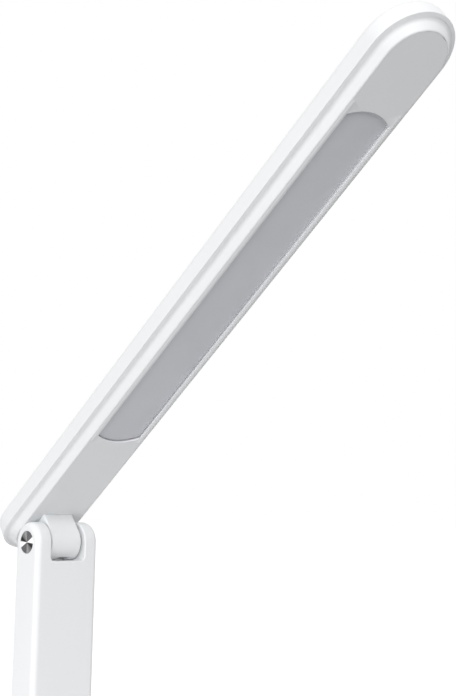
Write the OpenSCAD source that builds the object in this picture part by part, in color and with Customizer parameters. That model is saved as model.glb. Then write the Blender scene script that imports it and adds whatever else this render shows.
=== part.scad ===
// Folding led desk lamp: a weighted base, an upright stem and a long slim head.
// Both hinges are the same friction hinge. A tongue with a round end sits in a slot
// between two ears, and a steel pin squeezes washers against the tongue.
// X runs along the hinge pins, the head reaches towards -Y, and Z is up.
// The origin is the middle of the base's footprint, on the surface it stands on.

/* [Head] */
// Width of the head, which is round at both ends
head_width = 41.5; // [38:0.5:46]
// Length of the head from end to end
head_length = 338.5; // [300:0.5:380]
// Thickness of the head from its flat underside to its top
head_thickness = 13; // [12:0.5:16]
// Rounding of the top edge of the head
head_edge_radius = 3; // [1.5:0.5:4]
// How far the underside panel stands out of the rim of the top shell
panel_drop = 4.2; // [3:0.1:5]
// Width of the bevel round the underside panel
bevel_width = 2.4; // [2:0.1:2.8]
// Distance from the hinge axis back to the middle of the head's round tail
tail_setback = 4.5; // [3:0.5:8]
// Angle of the head above the horizontal, as photographed
head_elevation = 38; // [0:1:60]

/* [Light window] */
// Width of the light window
window_width = 25; // [20:0.5:27]
// Distance from the middle of the round tail to the near end of the window
window_start = 69.5; // [50:0.5:90]
// Length of the window between the tips of its curved ends
window_length = 203; // [150:1:215]
// Radius of the curved ends of the window
window_end_radius = 21.7; // [18:0.1:30]
// Depth of the diffuser below the panel
window_depth = 1.3; // [1:0.1:1.6]
// Number of light chips in each of the two rows
chips_per_row = 24; // [12:1:30]

/* [Stem] */
// Width of the stem
stem_width = 36; // [32:0.5:40]
// Depth of the stem from front to back
stem_depth = 19.6; // [18:0.2:24]
// Distance between the two hinge axes
stem_span = 330; // [325:1:380]
// Rounding of the upright edges of the stem
stem_edge_radius = 3; // [1:0.5:4]
// Thickness of the stem's walls
stem_wall = 2.2; // [1.6:0.1:3]

/* [Hinges] */
// Width of the slot between the two ears
slot_width = 20; // [19:0.5:22]
// Width of the tongue in the slot
tongue_width = 17.2; // [16:0.1:18]
// Radius of the round end of the tongue
tongue_radius = 8.6; // [8:0.1:9.2]
// Gap between the round end of the tongue and the floor of the slot
slot_gap = 0.2; // [0.2:0.05:0.6]
// Radius of the hinge pin
pin_radius = 3; // [2:0.1:3.4]
// Gap between the pin and the bore of the tongue, on the radius
pin_clearance = 0.05; // [0.03:0.01:0.1]
// Gap between the stem and the flat of the folded head
fold_gap = 0.6; // [0.5:0.1:1]
// Radius of the turned metal caps over the ends of the pins
cap_radius = 5.4; // [5:0.1:6]

/* [Base] */
// Width of the base
base_width = 124; // [116:1:150]
// Length of the base from front to back
base_length = 180; // [172:1:220]
// Height of the base with its pad
base_height = 20; // [19:0.5:26]
// Rounding of the four corners
base_corner_radius = 28; // [24:1:34]
// Rounding of the top edge of the base
base_edge_radius = 4; // [2:0.5:5]
// Distance from the back edge of the base to the hinge axis
hinge_inset = 20; // [18:1:26]
// Height of the lower hinge axis above the base
hinge_height = 25.4; // [25:0.2:34]
// Radius of the touch key
key_radius = 8; // [6:0.5:10]
// Distance from the middle of the base forward to the touch key
key_forward = 50; // [40:1:60]

/* [Hidden] */
$fn = 64;

eps = 0.01;
white = [0.95, 0.95, 0.95];
steel = [0.72, 0.73, 0.75];
copper = [0.80, 0.50, 0.30];

// Places along the height of the lamp
hinge_y = base_length / 2 - hinge_inset;
lower_axis_z = base_height + hinge_height;
upper_axis_z = lower_axis_z + stem_span;

// Head, in its own frame: axis at the origin, tip towards -Y, underside down
head_radius = head_width / 2;
head_pitch = head_length - head_width;
tip_y = tail_setback - head_pitch;
flat_z = stem_depth / 2 + fold_gap;
top_z = flat_z + head_thickness;
rim_z = flat_z + panel_drop;
shell_wall = 1.75;
shell_top_wall = 1.6;
shell_inner_radius = head_radius - shell_wall;
panel_radius = shell_inner_radius - 0.05;
panel_wall = 1.75;
panel_flange_height = 2;
panel_thickness = window_depth;
bevel_height = 0.8 * panel_drop;
bevel_foot = panel_radius - 1.08;
bevel_corner = bevel_foot - bevel_width;
bevel_angle = atan(bevel_height / bevel_width);
nose_radius = 1;
foot_radius = 2.5;
foot_angle = atan((panel_drop - bevel_height) / (head_radius - bevel_foot));
bead_half_width = 1.1;
bead_height = 0.2;
bead_x = window_width / 2 + 0.2 + bead_half_width;
window_near_y = tail_setback - window_start;
window_far_y = window_near_y - window_length;
diffuser_margin = 2;
diffuser_thickness = 1.6;
tray_height = 5.7;
tray_wall = 0.8;
tray_foot = window_width / 2 + 1.3;
tray_top = 10;
tray_z = flat_z + panel_thickness + diffuser_thickness;
board_z = tray_z + tray_height;
board_thickness = 1;
board_width = 19;
chip_size = [3.5, 2.8, 0.7];
chip_row_offset = 4.5;
flange_z = flat_z + 3;
flange_thickness = 2.5;
flange_size = [27, 28];
flange_middle_y = -2;
knuckle_screw_places = [[11, -12], [11, 9], [-11, -12], [-11, 9]];

// Hinge
slot_floor = tongue_radius + slot_gap;
slot_corner_radius = 2.4;
tongue_edge_radius = 1;
washer_radius = 6.6;
cap_thickness = 0.8;
cap_recess = 0.9;
ear_web = 13.6;
nut_web = 12.2;
spring_stack = 1.6;
nut_thickness = 3;
nut_radius = 4.6;
pin_head_radius = 4.1;
pocket_inner_radius = 5;
wire_slot = [-2.1, 3.8];
wire_slot_width = wire_slot[1] - wire_slot[0];
wire_radius = 0.6;
wire_places = [0.1, 1.6];
channel_y = [4.2, 7];
channel_middle = (channel_y[0] + channel_y[1]) / 2;
stem_wire_y = 5;

// Stem
cavity_half_width = stem_width / 2 - stem_wall - 1.8;
cavity_front_y = stem_wall - stem_depth / 2;
cavity_end = 22;
back_cover_thickness = 1.8;
back_cover_half_width = cavity_half_width + 0.8;
back_cover_lap = 3;
rib_thickness = 1.6;
rib_count = 5;

// Base
pad_thickness = 1.5;
base_wall = 2.4;
plate_thickness = 2;
plate_top = pad_thickness + plate_thickness;
ballast_half_width = 46;
ballast_front_y = -68;
ballast_back_y = hinge_y + 16;
ballast_thickness = 5;
ballast_top = plate_top + ballast_thickness;
boss_places = [[51, 70], [-51, 70], [51, -70], [-51, -70]];
boss_radius = 3.5;
cover_screw_radius = 1.4;
post_screw_radius = 2;
foot_size = [36, 28, 4];
foot_screw_places = [[13, -9], [13, 9], [-13, -9], [-13, 9]];
board_top = 12.6;
control_board_size = [60, 40, 1.6];
battery_size = [52, 50, 5.5];
battery_y = 20;
socket_x = -28;
socket_z = plate_top + 4.6;
socket_size = [8.9, 7.4, 3.2];
socket_board_size = [16, 14];
socket_room = 1;

// Places shared by several sub-parts
module at_lower_axis() {
    translate([0, hinge_y, lower_axis_z]) children();
}

module at_upper_axis() {
    translate([0, hinge_y, upper_axis_z]) children();
}

module at_head() {
    at_upper_axis() rotate([-head_elevation, 0, 0]) children();
}

// A cylinder along X between two places
module rod(radius, x0, x1) {
    translate([x0, 0, 0]) rotate([0, 90, 0]) cylinder(h = x1 - x0, r = radius);
}

module rounded_rectangle(width, length, radius) {
    square([width - 2 * radius, length], center = true);
    square([width, length - 2 * radius], center = true);
    for (x = [-1, 1], y = [-1, 1]) {
        translate([x * (width / 2 - radius), y * (length / 2 - radius)]) circle(radius);
    }
}

// The cone of a countersunk head, carried on below its face by an extra depth
module countersink(shank, extra) {
    cylinder(h = shank + extra, r1 = 2 * shank + extra, r2 = shank);
}

// A bar of rounded section that ends in a half turn about the X axis and runs up from it
module round_ended_bar(width, radius, edge, length) {
    linear_extrude(height = length) rounded_rectangle(width, 2 * radius, edge);
    rotate([-90, 0, 0]) rotate([0, 90, 0]) rotate_extrude(angle = 180) intersection() {
        rounded_rectangle(2 * radius, width, edge);
        translate([0, -width / 2]) square([radius, width]);
    }
}

// Sweeps a half profile, radius against height, round the head's long round-ended outline
module head_sweep() {
    translate([0, tail_setback, 0]) rotate_extrude(angle = 180) children();
    translate([0, tip_y, 0]) rotate([0, 0, 180]) rotate_extrude(angle = 180) children();
    translate([0, tail_setback, 0]) rotate([90, 0, 0]) linear_extrude(height = head_pitch) {
        children();
        mirror([1, 0]) children();
    }
}

// A quarter-rounded upper corner on a half profile that starts at radius 0
module soft_corner_profile(radius, z0, z1, edge) {
    translate([0, z0]) square([radius, z1 - z0 - edge]);
    translate([0, z0]) square([radius - edge, z1 - z0]);
    translate([radius - edge, z1 - edge]) circle(edge);
}

// A slab with round corners and a rounded top edge
module soft_slab(width, length, corner, z0, z1, edge) {
    inner = corner - edge;
    translate([0, 0, z0]) linear_extrude(height = z1 - z0 - edge) {
        rounded_rectangle(width, length, corner);
    }
    translate([0, 0, z0]) linear_extrude(height = z1 - z0) {
        rounded_rectangle(width - 2 * edge, length - 2 * edge, inner);
    }
    for (x = [-1, 1], y = [-1, 1]) {
        translate([x * (width / 2 - corner), y * (length / 2 - corner), z1 - edge]) {
            rotate_extrude() translate([inner, 0]) circle(edge);
        }
    }
    for (x = [-1, 1]) {
        translate([x * (width / 2 - edge), length / 2 - corner, z1 - edge]) rotate([90, 0, 0]) {
            cylinder(h = length - 2 * corner, r = edge);
        }
    }
    for (y = [-1, 1]) {
        translate([width / 2 - corner, y * (length / 2 - edge), z1 - edge]) rotate([0, -90, 0]) {
            cylinder(h = width - 2 * corner, r = edge);
        }
    }
}

// Hinge hardware, drawn about its own axis
module hinge_pin() {
    difference() {
        union() {
            rod(pin_radius, -ear_web, nut_web + spring_stack + nut_thickness);
            rod(pin_head_radius, -(stem_width / 2 - cap_recess), -ear_web);
        }
        translate([-stem_width / 2, 0, 0]) rotate([0, 90, 0]) cylinder(h = 3, r = 1.7, $fn = 6);
    }
}

module hinge_washers() {
    for (side = [-1, 1]) {
        x0 = side > 0 ? tongue_width / 2 + pin_clearance : -slot_width / 2;
        difference() {
            rod(washer_radius, x0, x0 + (slot_width - tongue_width) / 2 - pin_clearance);
            rod(pin_radius, x0 - 1, x0 + 3);
        }
    }
}

// Two coned washers, wide edges together
module hinge_spring_washers() {
    thickness = 0.5;
    cone = spring_stack / 2 - thickness;
    inner = pin_radius + 0.1;
    for (flip = [0, 1]) {
        translate([nut_web + flip * spring_stack, 0, 0]) mirror([flip, 0, 0]) rotate([0, 90, 0]) {
            rotate_extrude() polygon([
                [inner, 0], [inner, thickness], [nut_radius, thickness + cone], [nut_radius, cone]
            ]);
        }
    }
}

module hinge_nut() {
    x0 = nut_web + spring_stack;
    difference() {
        translate([x0, 0, 0]) rotate([0, 90, 0]) cylinder(h = nut_thickness, r = nut_radius, $fn = 6);
        rod(pin_radius, x0 - 1, x0 + nut_thickness + 1);
    }
}

// A turned cap for each end of the pin, with a shallow dish in its face
module hinge_caps() {
    face = stem_width / 2 - 0.1;
    for (side = [-1, 1]) {
        rotate([0, side * 90, 0]) rotate_extrude() polygon([
            [0, face - cap_thickness], [cap_radius, face - cap_thickness],
            [cap_radius, face - 0.15], [cap_radius - 0.15, face],
            [cap_radius - 0.6, face], [0, face - 0.2]
        ]);
    }
}

// What the hinge hardware needs taken out of the ears
module ear_bores() {
    half = stem_width / 2;
    rod(pin_radius, -half - 1, half + 1);
    rod(pin_head_radius, -half - 1, -ear_web);
    rod(nut_radius + 0.1, nut_web, half + 1);
    for (side = [-1, 1]) {
        x0 = side > 0 ? half - cap_recess : -half - 1;
        rod(cap_radius + 0.05, x0, x0 + cap_recess + 1);
    }
}

// A slot open at the end of the stem, with rounded inner corners
module ear_slot() {
    rotate([90, 0, 0]) linear_extrude(height = stem_depth + 2, center = true) {
        translate([0, stem_depth / 2]) {
            rounded_rectangle(slot_width, 2 * slot_floor + stem_depth, slot_corner_radius);
        }
    }
}

// Room for the wires in a tongue: a pocket round the pin, open to the slot between two
// angles, and a channel beside the pin. Angles turn from -Y towards -Z.
module tongue_wire_room(length, from_angle, to_angle) {
    reach = 2 * tongue_radius;
    angles = [from_angle, (from_angle + to_angle) / 2, to_angle];
    outline = [for (angle = angles) [-reach * cos(angle), -reach * sin(angle)]];
    intersection() {
        difference() {
            rod(tongue_radius + 1, wire_slot[0], wire_slot[1]);
            rod(pocket_inner_radius, wire_slot[0] - 1, wire_slot[1] + 1);
        }
        translate([wire_slot[0], 0, 0]) rotate([90, 0, 90]) linear_extrude(height = wire_slot_width) {
            polygon(concat([[0, 0]], outline));
        }
    }
    translate([wire_slot[0], channel_y[0], -pocket_inner_radius]) {
        cube([wire_slot_width, channel_y[1] - channel_y[0], length + pocket_inner_radius]);
    }
}

// Height of the sloping ledge round the panel at a distance from the head's middle line
function ledge_z(radius) = rim_z - (head_radius - radius) * tan(foot_angle);

// Head
module head_top_shell() {
    color(white) at_head() {
        head_sweep() {
            difference() {
                soft_corner_profile(head_radius, rim_z, top_z, head_edge_radius);
                translate([0, rim_z - 1]) {
                    square([shell_inner_radius, top_z - shell_top_wall - rim_z + 1]);
                }
            }
            polygon([
                [shell_inner_radius, ledge_z(shell_inner_radius)],
                [head_radius, rim_z], [shell_inner_radius, rim_z + 0.1]
            ]);
        }
        for (place = knuckle_screw_places) {
            translate([place[0], place[1], flange_z + flange_thickness]) difference() {
                cylinder(h = top_z - shell_top_wall - flange_z - flange_thickness, r = 3);
                translate([0, 0, -1]) cylinder(h = 5, r = 1.25);
            }
        }
        for (x = [-1, 1]) {
            translate([x * 6 - 0.6, window_far_y, board_z + board_thickness]) {
                cube([1.2, window_length, top_z - shell_top_wall - board_z - board_thickness]);
            }
        }
    }
}

// Half profile of the underside panel: flat, round nose, bevel, hollow foot, inner flange
module panel_profile() {
    inner = panel_radius - panel_wall;
    shelf = flat_z + panel_thickness;
    difference() {
        polygon([
            [0, flat_z], [bevel_corner, flat_z], [bevel_foot, flat_z + bevel_height],
            [panel_radius, ledge_z(panel_radius)], [panel_radius, rim_z + panel_flange_height],
            [inner, rim_z + panel_flange_height], [inner, rim_z], [inner - 3, shelf], [0, shelf]
        ]);
        soft_nose();
    }
    soft_foot();
}

// The corner between the flat and the bevel that is cut off to leave a round nose
module soft_nose() {
    corner = [bevel_corner, flat_z];
    setback = nose_radius * tan(bevel_angle / 2);
    centre = corner + [-setback, nose_radius];
    difference() {
        polygon([
            centre, corner + [-setback, 0], corner + [0.25, -0.5],
            corner + setback * [cos(bevel_angle), sin(bevel_angle)]
        ]);
        translate(centre) circle(nose_radius);
    }
}

// What fills the inner corner between the bevel and the ledge to a hollow
module soft_foot() {
    corner = [bevel_foot, flat_z + bevel_height];
    reach = foot_radius * tan((bevel_angle - foot_angle) / 2);
    on_bevel = corner - reach * [cos(bevel_angle), sin(bevel_angle)];
    centre = on_bevel + foot_radius * [sin(bevel_angle), -cos(bevel_angle)];
    difference() {
        polygon([
            centre, on_bevel, corner + [-0.2, 0.3],
            corner + reach * [cos(foot_angle), sin(foot_angle)]
        ]);
        translate(centre) circle(foot_radius);
    }
}

// A low crowned bead along each long side of the light window
module window_beads() {
    crown = (bead_half_width * bead_half_width + bead_height * bead_height) / (2 * bead_height);
    for (side = [-1, 1]) {
        translate([side * bead_x, window_near_y, flat_z + crown - bead_height]) rotate([90, 0, 0]) {
            linear_extrude(height = window_length) intersection() {
                circle(crown);
                translate([-bead_half_width, -crown]) {
                    square([2 * bead_half_width, bead_height + panel_thickness / 2]);
                }
            }
        }
    }
}

module window_outline(margin) {
    half = window_width / 2 + margin;
    radius = window_end_radius + margin;
    near = window_near_y - window_end_radius;
    far = window_far_y + window_end_radius;
    sagitta = radius - sqrt(radius * radius - half * half);
    near_corner = near + radius - sagitta;
    far_corner = far - radius + sagitta;
    translate([-half, far_corner]) square([2 * half, near_corner - far_corner]);
    intersection() {
        translate([0, near]) circle(radius);
        translate([-half, near_corner - eps]) square([2 * half, radius]);
    }
    intersection() {
        translate([0, far]) circle(radius);
        translate([-half, far_corner - radius + eps]) square([2 * half, radius]);
    }
}

module head_lower_cover() {
    color(white) at_head() difference() {
        union() {
            head_sweep() panel_profile();
            window_beads();
        }
        translate([0, 0, flat_z - 1]) linear_extrude(height = 5) window_outline(0);
        translate([0, 0, flat_z - 1]) linear_extrude(height = 5) {
            rounded_rectangle(tongue_width, 2 * tongue_radius, tongue_edge_radius);
        }
    }
}

module head_knuckle() {
    color(white) at_head() difference() {
        union() {
            round_ended_bar(tongue_width, tongue_radius, tongue_edge_radius, flange_z + 1);
            translate([-flange_size[0] / 2, flange_middle_y - flange_size[1] / 2, flange_z]) {
                cube([flange_size[0], flange_size[1], flange_thickness]);
            }
        }
        rod(pin_radius + pin_clearance, -tongue_width, tongue_width);
        tongue_wire_room(flange_z + flange_thickness + 1, 95, 180);
        for (place = knuckle_screw_places) {
            translate([place[0], place[1], flange_z - 1]) cylinder(h = 5, r = 1.25);
        }
    }
}

module knuckle_screws() {
    color(steel) at_head() for (place = knuckle_screw_places) {
        translate([place[0], place[1], flange_z - 1.5]) {
            difference() {
                cylinder(h = 1.5, r = 2.2);
                translate([0, 0, -1]) cylinder(h = 1.8, r = 0.9, $fn = 6);
            }
            translate([0, 0, 1.5 - eps]) cylinder(h = flange_thickness + 3.5, r = 1.25);
        }
    }
}

module diffuser() {
    color([0.85, 0.86, 0.88]) at_head() translate([0, 0, flat_z + panel_thickness]) {
        linear_extrude(height = diffuser_thickness) window_outline(diffuser_margin - 0.5);
    }
}

// A white trough whose sloping sides throw the light on the diffuser
module reflector_tray() {
    near = window_near_y + 1;
    length = window_length + 2;
    color("white") at_head() translate([0, near, tray_z]) {
        for (side = [0, 1]) {
            mirror([side, 0, 0]) rotate([90, 0, 0]) linear_extrude(height = length) polygon([
                [tray_foot, 0], [tray_foot - tray_wall, 0],
                [tray_top - tray_wall, tray_height], [tray_top, tray_height]
            ]);
        }
        for (y = [0, tray_wall - length]) {
            translate([0, y, 0]) rotate([90, 0, 0]) linear_extrude(height = tray_wall) polygon([
                [-tray_foot, 0], [tray_foot, 0], [tray_top, tray_height], [-tray_top, tray_height]
            ]);
        }
    }
}

module led_board() {
    color([0.9, 0.91, 0.9]) at_head() {
        translate([-board_width / 2, window_far_y - 1, board_z]) {
            cube([board_width, window_length + 2, board_thickness]);
        }
    }
}

module led_chips() {
    pitch = (window_length - 12) / (chips_per_row - 1);
    color([1, 0.9, 0.5]) at_head() for (row = [-1, 1], i = [0 : chips_per_row - 1]) {
        translate([row * chip_row_offset, window_far_y + 6 + i * pitch, board_z - chip_size[2] / 2]) {
            cube(chip_size, center = true);
        }
    }
}

// Two wires from the light board back to the channel in the knuckle
module head_wires() {
    run_z = board_z + board_thickness + wire_radius;
    color("firebrick") at_head() for (x = wire_places) {
        translate([x, window_near_y - 2, run_z]) rotate([-90, 0, 0]) {
            cylinder(h = channel_middle - window_near_y + 2, r = wire_radius);
        }
        translate([x, channel_middle, run_z]) sphere(wire_radius);
        translate([x, channel_middle, -3]) cylinder(h = run_z + 3, r = wire_radius);
    }
}

// Stem
module lower_half_of_stem() {
    translate([0, 0, -stem_span / 2]) {
        round_ended_bar(stem_width, stem_depth / 2, stem_edge_radius, stem_span / 2);
    }
}

module stem_outside() {
    translate([0, 0, stem_span / 2]) {
        lower_half_of_stem();
        mirror([0, 0, 1]) lower_half_of_stem();
    }
}

module stem_cavity() {
    translate([-cavity_half_width, cavity_front_y, cavity_end]) {
        cube([2 * cavity_half_width, stem_depth, stem_span - 2 * cavity_end]);
    }
    translate([
        -back_cover_half_width, stem_depth / 2 - back_cover_thickness, cavity_end - back_cover_lap
    ]) {
        cube([2 * back_cover_half_width, stem_depth, stem_span - 2 * cavity_end + 2 * back_cover_lap]);
    }
}

// Cross ribs in the stem, notched where the wires lie
module stem_ribs() {
    pitch = (stem_span - 2 * cavity_end) / (rib_count + 1);
    depth = stem_depth / 2 - back_cover_thickness - cavity_front_y - 1.5;
    notch_y = stem_wire_y - wire_radius - cavity_front_y;
    for (i = [1 : rib_count]) {
        translate([-cavity_half_width, cavity_front_y, cavity_end + i * pitch]) difference() {
            cube([2 * cavity_half_width, depth, rib_thickness]);
            translate([cavity_half_width + wire_slot[0], notch_y, -1]) {
                cube([wire_slot_width, depth, rib_thickness + 2]);
            }
            for (x = [0, 2 * cavity_half_width - 1]) {
                translate([x, depth - 2, -1]) cube([1, 3, rib_thickness + 2]);
            }
        }
    }
}

// Holes from the cavity through to each slot, at the back where no fold pinches the wires
module stem_wire_ways() {
    for (z = [slot_floor - 1, stem_span - cavity_end - 1]) {
        translate([wire_slot[0], stem_wire_y - 2, z]) {
            cube([wire_slot_width, 4, cavity_end - slot_floor + 2]);
        }
    }
}

module stem_shell() {
    color(white) at_lower_axis() {
        difference() {
            stem_outside();
            stem_cavity();
            rotate([180, 0, 0]) ear_slot();
            translate([0, 0, stem_span]) ear_slot();
            ear_bores();
            translate([0, 0, stem_span]) ear_bores();
            stem_wire_ways();
        }
        stem_ribs();
    }
}

// A plate with two lips that snap into the stem
module stem_back_cover() {
    length = stem_span - 2 * cavity_end;
    color(white) at_lower_axis() {
        translate([
            -back_cover_half_width, stem_depth / 2 - back_cover_thickness, cavity_end - back_cover_lap
        ]) {
            cube([2 * back_cover_half_width, back_cover_thickness, length + 2 * back_cover_lap]);
        }
        for (side = [0, 1]) {
            mirror([side, 0, 0]) translate([
                cavity_half_width - 1, stem_depth / 2 - back_cover_thickness - 3, cavity_end
            ]) {
                cube([1, 3 + eps, length]);
            }
        }
    }
}

module stem_wires() {
    start = slot_floor;
    color("firebrick") at_lower_axis() for (x = wire_places) {
        translate([x, stem_wire_y, start]) cylinder(h = stem_span - 2 * start, r = wire_radius);
    }
}

// Base
module base_cover() {
    top_inside = base_height - base_wall;
    color(white) {
        difference() {
            soft_slab(
                base_width, base_length, base_corner_radius,
                pad_thickness, base_height, base_edge_radius
            );
            translate([0, 0, pad_thickness - 1]) linear_extrude(height = top_inside - pad_thickness + 1) {
                rounded_rectangle(
                    base_width - 2 * base_wall, base_length - 2 * base_wall,
                    base_corner_radius - base_wall
                );
            }
            translate([0, hinge_y, top_inside - 1]) linear_extrude(height = base_wall + 2) {
                rounded_rectangle(tongue_width, 2 * tongue_radius, tongue_edge_radius);
            }
            translate([0, -key_forward, top_inside - 1]) cylinder(h = base_wall + 2, r = key_radius);
            translate([socket_x, base_length / 2, socket_z]) rotate([90, 0, 0]) {
                linear_extrude(height = 2 * base_wall + 2, center = true) {
                    rounded_rectangle(socket_size[0], socket_size[2], 1.4);
                }
            }
        }
        for (place = boss_places) {
            translate([place[0], place[1], plate_top]) difference() {
                cylinder(h = top_inside - plate_top + eps, r = boss_radius);
                translate([0, 0, -1]) cylinder(h = 9, r = cover_screw_radius);
            }
        }
        for (x = [-1, 1], y = [-1, 1]) {
            translate([x * 24, y * 14 - key_forward, board_top]) {
                cylinder(h = top_inside - board_top + eps, r = 2.5);
            }
        }
    }
}

module base_plate() {
    color([0.85, 0.85, 0.85]) difference() {
        translate([0, 0, pad_thickness]) linear_extrude(height = plate_thickness) {
            rounded_rectangle(
                base_width - 2 * base_wall - 0.1, base_length - 2 * base_wall - 0.1,
                base_corner_radius - base_wall - 0.05
            );
        }
        for (place = boss_places) {
            translate([place[0], place[1], pad_thickness - 1]) {
                cylinder(h = plate_thickness + 2, r = cover_screw_radius);
                countersink(cover_screw_radius, 1);
            }
        }
    }
}

module base_screws() {
    color(steel) for (place = boss_places) {
        translate([place[0], place[1], pad_thickness]) {
            countersink(cover_screw_radius, 0);
            translate([0, 0, 1]) cylinder(h = 8, r = cover_screw_radius);
        }
    }
}

module base_pad() {
    inset = 4;
    color([0.35, 0.35, 0.37]) linear_extrude(height = pad_thickness) {
        rounded_rectangle(
            base_width - 2 * inset, base_length - 2 * inset, base_corner_radius - inset
        );
    }
}

module ballast_plate() {
    length = ballast_back_y - ballast_front_y;
    color([0.45, 0.46, 0.48]) difference() {
        translate([0, ballast_front_y + length / 2, plate_top]) {
            linear_extrude(height = ballast_thickness) {
                rounded_rectangle(2 * ballast_half_width, length, 16);
            }
        }
        for (place = foot_screw_places) {
            translate([place[0], hinge_y + place[1], plate_top - 1]) {
                cylinder(h = ballast_thickness + 2, r = post_screw_radius);
                countersink(post_screw_radius, 1);
            }
        }
        translate([
            socket_x - socket_board_size[0] / 2 - socket_room,
            base_length / 2 - base_wall - socket_board_size[1] - socket_room, plate_top - 1
        ]) {
            cube([socket_board_size[0] + 2 * socket_room, 20, ballast_thickness + 2]);
        }
    }
}

// The lower hinge's tongue, which stands up through the cover on a broad foot
module base_post() {
    color(white) at_lower_axis() difference() {
        union() {
            rotate([180, 0, 0]) {
                round_ended_bar(
                    tongue_width, tongue_radius, tongue_edge_radius,
                    lower_axis_z - ballast_top - foot_size[2] + 1
                );
            }
            translate([-foot_size[0] / 2, -foot_size[1] / 2, ballast_top - lower_axis_z]) {
                cube(foot_size);
            }
        }
        rod(pin_radius + pin_clearance, -tongue_width, tongue_width);
        rotate([180, 0, 0]) tongue_wire_room(lower_axis_z - ballast_top - battery_size[2] + 1, 80, 140);
        translate([wire_slot[0], -foot_size[1] / 2 - 1, ballast_top + battery_size[2] - 1 - lower_axis_z]) {
            cube([wire_slot_width, foot_size[1] / 2 + 1 - channel_y[0], 3]);
        }
        for (place = foot_screw_places) {
            translate([place[0], place[1], ballast_top - lower_axis_z - 1]) {
                cylinder(h = foot_size[2] + 2, r = post_screw_radius);
            }
        }
    }
}

module post_screws() {
    color(steel) for (place = foot_screw_places) {
        translate([place[0], hinge_y + place[1], plate_top]) {
            countersink(post_screw_radius, 0);
            translate([0, 0, 1]) {
                cylinder(h = ballast_thickness + foot_size[2] - 1.5, r = post_screw_radius);
            }
        }
    }
}

module battery_cell() {
    color([0.3, 0.45, 0.7]) translate([0, battery_y, ballast_top]) {
        linear_extrude(height = battery_size[2]) {
            rounded_rectangle(battery_size[0], battery_size[1], 2);
        }
    }
}

module control_board() {
    color([0.1, 0.4, 0.25]) translate([0, -key_forward, board_top - control_board_size[2]]) {
        linear_extrude(height = control_board_size[2]) {
            rounded_rectangle(control_board_size[0], control_board_size[1], 2);
        }
    }
}

module touch_key() {
    color([0.92, 0.93, 0.94]) translate([0, -key_forward, base_height - base_wall]) {
        cylinder(h = base_wall, r = key_radius - 0.05);
        translate([0, 0, -1]) cylinder(h = 1, r = key_radius + 1.5);
    }
}

module touch_spring() {
    color(copper) translate([0, -key_forward, board_top]) {
        difference() {
            cylinder(h = base_height - base_wall - 1 - board_top, r = 4);
            translate([0, 0, -1]) cylinder(h = 10, r = 3.2);
        }
    }
}

// The charging inlet: a rounded metal sleeve with a contact tongue inside
module charge_socket() {
    front_y = base_length / 2 - 0.4;
    color(steel) translate([socket_x, front_y, socket_z]) rotate([90, 0, 0]) {
        difference() {
            linear_extrude(height = socket_size[1]) {
                rounded_rectangle(socket_size[0], socket_size[2], 1.4);
            }
            translate([0, 0, -1]) linear_extrude(height = socket_size[1]) {
                rounded_rectangle(socket_size[0] - 0.6, socket_size[2] - 0.6, 1.1);
            }
        }
        translate([-3.3, -0.35, 0.8]) cube([6.6, 0.7, socket_size[1] - 1]);
    }
}

module socket_board() {
    top = socket_z - socket_size[2] / 2;
    color([0.1, 0.4, 0.25]) translate([
        socket_x - socket_board_size[0] / 2, base_length / 2 - base_wall - socket_board_size[1], plate_top
    ]) {
        cube([socket_board_size[0], socket_board_size[1], top - plate_top]);
    }
}

// Wires from the foot of the post past the battery to the control board
module base_wires() {
    run_z = ballast_top + battery_size[2] + wire_radius;
    start_y = hinge_y - channel_middle;
    end_y = control_board_size[1] / 2 - key_forward - 2;
    color("firebrick") for (x = wire_places) {
        translate([x, end_y, run_z]) rotate([-90, 0, 0]) {
            cylinder(h = start_y - end_y, r = wire_radius);
        }
        translate([x, start_y, run_z]) sphere(wire_radius);
        translate([x, start_y, run_z]) cylinder(h = lower_axis_z - run_z, r = wire_radius);
    }
}

// Hinge hardware where it sits
module lower_pin() { color(steel) at_lower_axis() hinge_pin(); }
module lower_washers() { color(steel) at_lower_axis() hinge_washers(); }
module lower_spring_washers() { color(steel) at_lower_axis() hinge_spring_washers(); }
module lower_nut() { color(steel) at_lower_axis() hinge_nut(); }
module lower_caps() { color(steel) at_lower_axis() hinge_caps(); }
module upper_pin() { color(steel) at_upper_axis() hinge_pin(); }
module upper_washers() { color(steel) at_upper_axis() hinge_washers(); }
module upper_spring_washers() { color(steel) at_upper_axis() hinge_spring_washers(); }
module upper_nut() { color(steel) at_upper_axis() hinge_nut(); }
module upper_caps() { color(steel) at_upper_axis() hinge_caps(); }

base_cover();
base_plate();
base_pad();
base_screws();
ballast_plate();
base_post();
post_screws();
battery_cell();
control_board();
touch_key();
touch_spring();
charge_socket();
socket_board();
base_wires();
lower_pin();
lower_washers();
lower_spring_washers();
lower_nut();
lower_caps();
stem_shell();
stem_back_cover();
stem_wires();
upper_pin();
upper_washers();
upper_spring_washers();
upper_nut();
upper_caps();
head_knuckle();
knuckle_screws();
head_top_shell();
head_lower_cover();
diffuser();
reflector_tray();
led_board();
led_chips();
head_wires();
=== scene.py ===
# %% [markdown]
# # A folding desk lamp in white plastic
# The imported model is the fixed frame of this scene: it holds every solid of the lamp in
# the right place, on the body that moves it. The script dresses that frame. It builds the
# outer skins again with soft edges and fine seams, because a lamp of plain white plastic
# is all edges and highlights, and it gives every other solid a finish of its own.

# %% Load the frame
import functools
import math

import bmesh
import bpy
from mathutils import Matrix, Vector
from mathutils.geometry import normal as polygon_normal


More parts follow.
